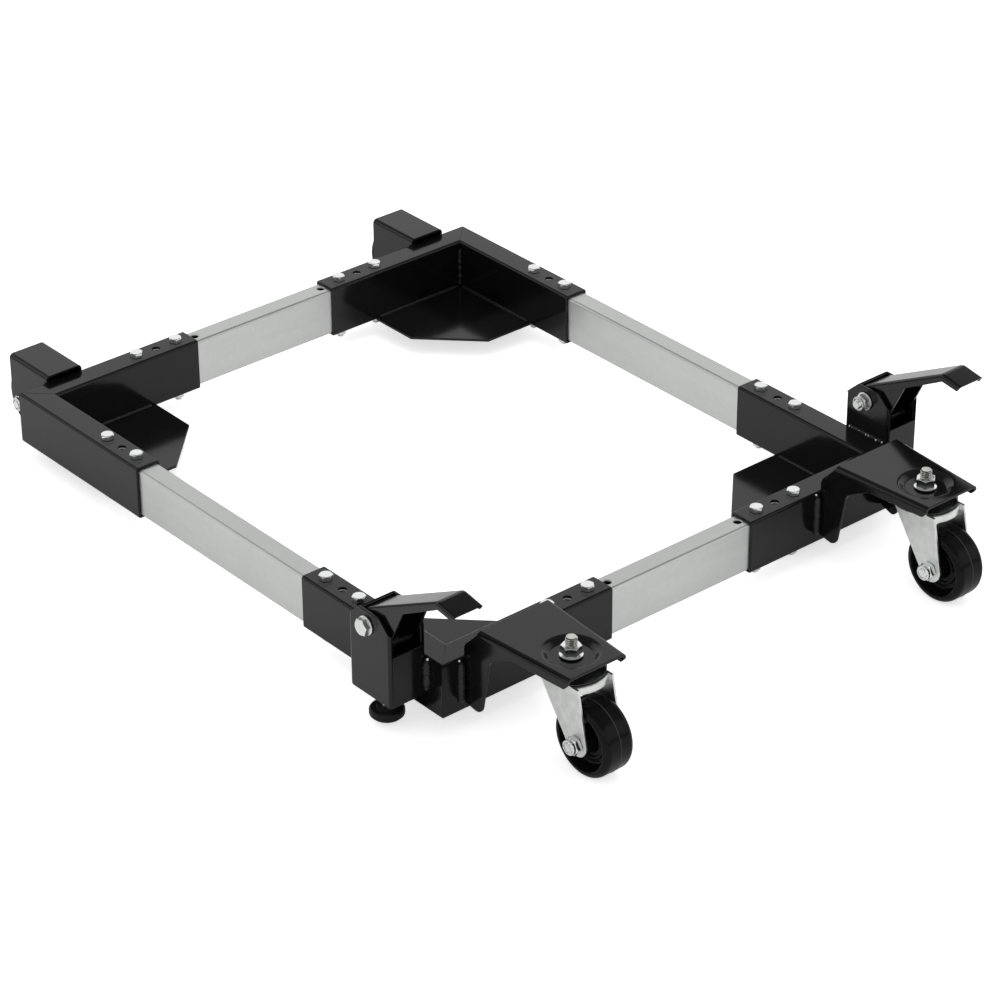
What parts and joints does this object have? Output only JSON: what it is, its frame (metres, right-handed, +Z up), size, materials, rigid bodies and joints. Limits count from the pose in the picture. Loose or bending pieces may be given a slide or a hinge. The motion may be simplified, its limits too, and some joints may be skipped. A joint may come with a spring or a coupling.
{
  "type": "mobile machine base",
  "caption": "Low rectangular base of bolted telescoping square tube with swivel casters and pedal feet in front and fixed wheels behind.",
  "frame": {"origin": "on the floor, under the middle of the box round the whole base with pedals up and casters pointing forwards", "axes": "+Z up, +Y towards the fixed rear wheels, +X towards the right-hand pedal seen from the front"},
  "size_m": [0.7246, 0.964, 0.188],
  "materials": {
    "black_powder_coat": "satin black powder coat",
    "galvanised_steel": "pale grey galvanised tube",
    "bright_zinc": "bright zinc plate",
    "dark_steel": "dark plated steel",
    "black_rubber": "matt black rubber",
    "black_wheel": "satin black moulded wheel"
  },
  "bodies": {
    "frame": {"corner_front_left": "black_powder_coat", "corner_front_right": "black_powder_coat", "corner_rear_right": "black_powder_coat", "corner_rear_left": "black_powder_coat", "bolt_front_left_1": "bright_zinc", "bolt_front_left_2": "bright_zinc", "bolt_front_left_3": "bright_zinc", "bolt_front_left_4": "bright_zinc", "bolt_front_right_1": "bright_zinc", "bolt_front_right_2": "bright_zinc", "bolt_front_right_3": "bright_zinc", "bolt_front_right_4": "bright_zinc", "bolt_rear_right_1": "bright_zinc", "bolt_rear_right_2": "bright_zinc", "bolt_rear_right_3": "bright_zinc", "bolt_rear_right_4": "bright_zinc", "bolt_rear_left_1": "bright_zinc", "bolt_rear_left_2": "bright_zinc", "bolt_rear_left_3": "bright_zinc", "bolt_rear_left_4": "bright_zinc", "bar_front": "galvanised_steel", "bar_rear": "galvanised_steel", "bar_left": "galvanised_steel", "bar_right": "galvanised_steel", "caster_bracket_left": "black_powder_coat", "caster_bracket_right": "black_powder_coat", "swivel_head_left": "dark_steel", "swivel_head_right": "dark_steel", "stem_nut_left": "bright_zinc", "stem_nut_right": "bright_zinc", "lever_housing_left": "black_powder_coat", "lever_housing_right": "black_powder_coat", "guide_plate_left": "black_powder_coat", "guide_plate_right": "black_powder_coat", "pivot_bolt_left": "bright_zinc", "pivot_bolt_right": "bright_zinc", "rear_wheel_box_left": "black_powder_coat", "rear_wheel_box_right": "black_powder_coat", "rear_sleeve_left": "bright_zinc", "rear_sleeve_right": "bright_zinc", "rear_axle_left": "bright_zinc", "rear_axle_right": "bright_zinc"},
    "swivel_left": {"caster_fork_left": "bright_zinc", "caster_sleeve_left": "bright_zinc", "caster_axle_left": "bright_zinc"},
    "swivel_right": {"caster_fork_right": "bright_zinc", "caster_sleeve_right": "bright_zinc", "caster_axle_right": "bright_zinc"},
    "front_wheel_left": {"caster_wheel_left": "black_wheel"},
    "front_wheel_right": {"caster_wheel_right": "black_wheel"},
    "back_wheel_left": {"rear_wheel_left": "black_wheel"},
    "back_wheel_right": {"rear_wheel_right": "black_wheel"},
    "pedal_left": {"pedal_left": "black_powder_coat"},
    "pedal_right": {"pedal_right": "black_powder_coat"},
    "foot_left": {"plunger_left": "dark_steel", "foot_stud_left": "bright_zinc", "foot_pad_left": "black_rubber"},
    "foot_right": {"plunger_right": "dark_steel", "foot_stud_right": "bright_zinc", "foot_pad_right": "black_rubber"}
  },
  "joints": [
    {"name": "caster_swivel_left", "type": "hinge", "parent": "frame", "child": "swivel_left", "pos_m": [-0.2365, -0.4105, 0.09], "axis": [0, 0, 1], "continuous": true},
    {"name": "caster_swivel_right", "type": "hinge", "parent": "frame", "child": "swivel_right", "pos_m": [0.2365, -0.4105, 0.09], "axis": [0, 0, 1], "continuous": true},
    {"name": "front_wheel_spin_left", "type": "hinge", "parent": "swivel_left", "child": "front_wheel_left", "pos_m": [-0.2365, -0.4435, 0.0385], "axis": [1, 0, 0], "continuous": true},
    {"name": "front_wheel_spin_right", "type": "hinge", "parent": "swivel_right", "child": "front_wheel_right", "pos_m": [0.2365, -0.4435, 0.0385], "axis": [1, 0, 0], "continuous": true},
    {"name": "back_wheel_spin_left", "type": "hinge", "parent": "frame", "child": "back_wheel_left", "pos_m": [-0.253, 0.4435, 0.0385], "axis": [1, 0, 0], "continuous": true},
    {"name": "back_wheel_spin_right", "type": "hinge", "parent": "frame", "child": "back_wheel_right", "pos_m": [0.253, 0.4435, 0.0385], "axis": [1, 0, 0], "continuous": true},
    {"name": "pedal_press_left", "type": "hinge", "parent": "frame", "child": "pedal_left", "pos_m": [-0.33215, -0.2535, 0.118], "axis": [1, 0, 0], "range_deg": [0, 48]},
    {"name": "pedal_press_right", "type": "hinge", "parent": "frame", "child": "pedal_right", "pos_m": [0.33215, -0.2535, 0.118], "axis": [1, 0, 0], "range_deg": [0, 48]},
    {"name": "foot_slide_left", "type": "slide", "parent": "frame", "child": "foot_left", "axis": [0, 0, -1], "range_m": [0, 0.012]},
    {"name": "foot_slide_right", "type": "slide", "parent": "frame", "child": "foot_right", "axis": [0, 0, -1], "range_m": [0, 0.012]}
  ],
  "couplings": [
    {"joint": "foot_slide_left", "follows": "pedal_press_left", "m_per_rad": 0.014324},
    {"joint": "foot_slide_right", "follows": "pedal_press_right", "m_per_rad": 0.014324}
  ]
}
